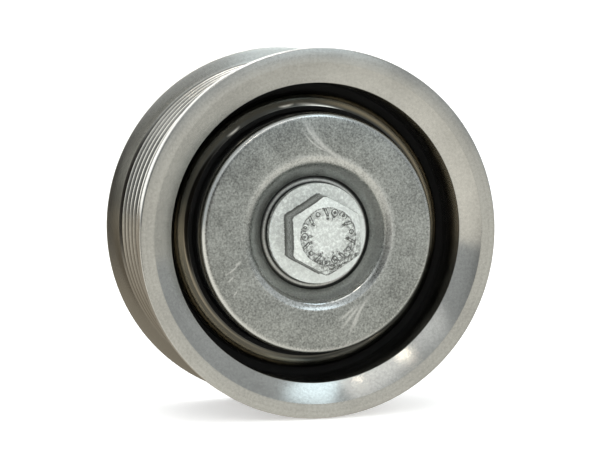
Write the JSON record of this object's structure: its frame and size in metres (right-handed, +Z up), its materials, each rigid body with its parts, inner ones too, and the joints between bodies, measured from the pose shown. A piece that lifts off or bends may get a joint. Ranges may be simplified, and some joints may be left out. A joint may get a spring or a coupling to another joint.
{
  "type": "grooved belt idler pulley",
  "caption": "Flanged, grooved steel idler pulley on a sealed ball bearing, with a dished cover disc and a captive flange bolt that clamps it to a bracket.",
  "frame": {"origin": "on the pulley's axis, in the plane where the sleeve's collar meets the bracket", "axes": "+Y along the pulley's axis, from the front of the pulley into the bracket; +Z up; the front face looks along -Y"},
  "size_m": [0.08, 0.06, 0.08],
  "materials": {
    "rim_steel": "turned, with a black coated recess",
    "cover_zinc": "matt zinc plate, lightly scratched",
    "bolt_zinc": "rough bright zinc plate",
    "bearing_steel": "ground",
    "ball_steel": "polished",
    "spacer_steel": "turned",
    "shield_steel": "pressed, zinc plated",
    "clip_steel": "phosphated spring steel",
    "seal_rubber": "moulded",
    "cage_nylon": "moulded"
  },
  "bodies": {
    "core": {"flange_bolt": "bolt_zinc", "cover_disc": "cover_zinc", "front_spacer_ring": "spacer_steel", "bearing_inner_ring": "bearing_steel", "mounting_sleeve": "spacer_steel", "rear_dust_shield": "shield_steel"},
    "pulley": {"pulley_rim": "rim_steel", "bearing_outer_ring": "bearing_steel", "front_seal": "seal_rubber", "rear_seal": "seal_rubber", "retaining_ring": "clip_steel"},
    "front_cage_body": {"front_cage": "cage_nylon"},
    "rear_cage_body": {"rear_cage": "cage_nylon"},
    "front_ball_1_body": {"front_ball_1": "ball_steel"},
    "front_ball_2_body": {"front_ball_2": "ball_steel"},
    "front_ball_3_body": {"front_ball_3": "ball_steel"},
    "front_ball_4_body": {"front_ball_4": "ball_steel"},
    "front_ball_5_body": {"front_ball_5": "ball_steel"},
    "front_ball_6_body": {"front_ball_6": "ball_steel"},
    "front_ball_7_body": {"front_ball_7": "ball_steel"},
    "front_ball_8_body": {"front_ball_8": "ball_steel"},
    "rear_ball_1_body": {"rear_ball_1": "ball_steel"},
    "rear_ball_2_body": {"rear_ball_2": "ball_steel"},
    "rear_ball_3_body": {"rear_ball_3": "ball_steel"},
    "rear_ball_4_body": {"rear_ball_4": "ball_steel"},
    "rear_ball_5_body": {"rear_ball_5": "ball_steel"},
    "rear_ball_6_body": {"rear_ball_6": "ball_steel"},
    "rear_ball_7_body": {"rear_ball_7": "ball_steel"},
    "rear_ball_8_body": {"rear_ball_8": "ball_steel"}
  },
  "joints": [
    {"name": "pulley_spin", "type": "hinge", "parent": "core", "child": "pulley", "pos_m": [0, -0.02, 0], "axis": [0, 1, 0], "continuous": true},
    {"name": "front_cage_spin", "type": "hinge", "parent": "core", "child": "front_cage_body", "pos_m": [0, -0.0227, 0], "axis": [0, 1, 0], "continuous": true},
    {"name": "rear_cage_spin", "type": "hinge", "parent": "core", "child": "rear_cage_body", "pos_m": [0, -0.0119, 0], "axis": [0, 1, 0], "continuous": true},
    {"name": "front_ball_1_spin", "type": "hinge", "parent": "front_cage_body", "child": "front_ball_1_body", "pos_m": [0, -0.0227, 0.01625], "axis": [0, 1, 0], "continuous": true},
    {"name": "front_ball_2_spin", "type": "hinge", "parent": "front_cage_body", "child": "front_ball_2_body", "pos_m": [0.01149, -0.0227, 0.01149], "axis": [0, 1, 0], "continuous": true},
    {"name": "front_ball_3_spin", "type": "hinge", "parent": "front_cage_body", "child": "front_ball_3_body", "pos_m": [0.01625, -0.0227, 0], "axis": [0, 1, 0], "continuous": true},
    {"name": "front_ball_4_spin", "type": "hinge", "parent": "front_cage_body", "child": "front_ball_4_body", "pos_m": [0.01149, -0.0227, -0.01149], "axis": [0, 1, 0], "continuous": true},
    {"name": "front_ball_5_spin", "type": "hinge", "parent": "front_cage_body", "child": "front_ball_5_body", "pos_m": [0, -0.0227, -0.01625], "axis": [0, 1, 0], "continuous": true},
    {"name": "front_ball_6_spin", "type": "hinge", "parent": "front_cage_body", "child": "front_ball_6_body", "pos_m": [-0.01149, -0.0227, -0.01149], "axis": [0, 1, 0], "continuous": true},
    {"name": "front_ball_7_spin", "type": "hinge", "parent": "front_cage_body", "child": "front_ball_7_body", "pos_m": [-0.01625, -0.0227, 0], "axis": [0, 1, 0], "continuous": true},
    {"name": "front_ball_8_spin", "type": "hinge", "parent": "front_cage_body", "child": "front_ball_8_body", "pos_m": [-0.01149, -0.0227, 0.01149], "axis": [0, 1, 0], "continuous": true},
    {"name": "rear_ball_1_spin", "type": "hinge", "parent": "rear_cage_body", "child": "rear_ball_1_body", "pos_m": [0, -0.0119, 0.01625], "axis": [0, 1, 0], "continuous": true},
    {"name": "rear_ball_2_spin", "type": "hinge", "parent": "rear_cage_body", "child": "rear_ball_2_body", "pos_m": [0.01149, -0.0119, 0.01149], "axis": [0, 1, 0], "continuous": true},
    {"name": "rear_ball_3_spin", "type": "hinge", "parent": "rear_cage_body", "child": "rear_ball_3_body", "pos_m": [0.01625, -0.0119, 0], "axis": [0, 1, 0], "continuous": true},
    {"name": "rear_ball_4_spin", "type": "hinge", "parent": "rear_cage_body", "child": "rear_ball_4_body", "pos_m": [0.01149, -0.0119, -0.01149], "axis": [0, 1, 0], "continuous": true},
    {"name": "rear_ball_5_spin", "type": "hinge", "parent": "rear_cage_body", "child": "rear_ball_5_body", "pos_m": [0, -0.0119, -0.01625], "axis": [0, 1, 0], "continuous": true},
    {"name": "rear_ball_6_spin", "type": "hinge", "parent": "rear_cage_body", "child": "rear_ball_6_body", "pos_m": [-0.01149, -0.0119, -0.01149], "axis": [0, 1, 0], "continuous": true},
    {"name": "rear_ball_7_spin", "type": "hinge", "parent": "rear_cage_body", "child": "rear_ball_7_body", "pos_m": [-0.01625, -0.0119, 0], "axis": [0, 1, 0], "continuous": true},
    {"name": "rear_ball_8_spin", "type": "hinge", "parent": "rear_cage_body", "child": "rear_ball_8_body", "pos_m": [-0.01149, -0.0119, 0.01149], "axis": [0, 1, 0], "continuous": true}
  ],
  "couplings": [
    {"joint": "front_cage_spin", "follows": "pulley_spin", "ratio": 0.62308},
    {"joint": "rear_cage_spin", "follows": "pulley_spin", "ratio": 0.62308},
    {"joint": "front_ball_1_spin", "follows": "pulley_spin", "ratio": 1.9082},
    {"joint": "front_ball_2_spin", "follows": "pulley_spin", "ratio": 1.9082},
    {"joint": "front_ball_3_spin", "follows": "pulley_spin", "ratio": 1.9082},
    {"joint": "front_ball_4_spin", "follows": "pulley_spin", "ratio": 1.9082},
    {"joint": "front_ball_5_spin", "follows": "pulley_spin", "ratio": 1.9082},
    {"joint": "front_ball_6_spin", "follows": "pulley_spin", "ratio": 1.9082},
    {"joint": "front_ball_7_spin", "follows": "pulley_spin", "ratio": 1.9082},
    {"joint": "front_ball_8_spin", "follows": "pulley_spin", "ratio": 1.9082},
    {"joint": "rear_ball_1_spin", "follows": "pulley_spin", "ratio": 1.9082},
    {"joint": "rear_ball_2_spin", "follows": "pulley_spin", "ratio": 1.9082},
    {"joint": "rear_ball_3_spin", "follows": "pulley_spin", "ratio": 1.9082},
    {"joint": "rear_ball_4_spin", "follows": "pulley_spin", "ratio": 1.9082},
    {"joint": "rear_ball_5_spin", "follows": "pulley_spin", "ratio": 1.9082},
    {"joint": "rear_ball_6_spin", "follows": "pulley_spin", "ratio": 1.9082},
    {"joint": "rear_ball_7_spin", "follows": "pulley_spin", "ratio": 1.9082},
    {"joint": "rear_ball_8_spin", "follows": "pulley_spin", "ratio": 1.9082}
  ]
}
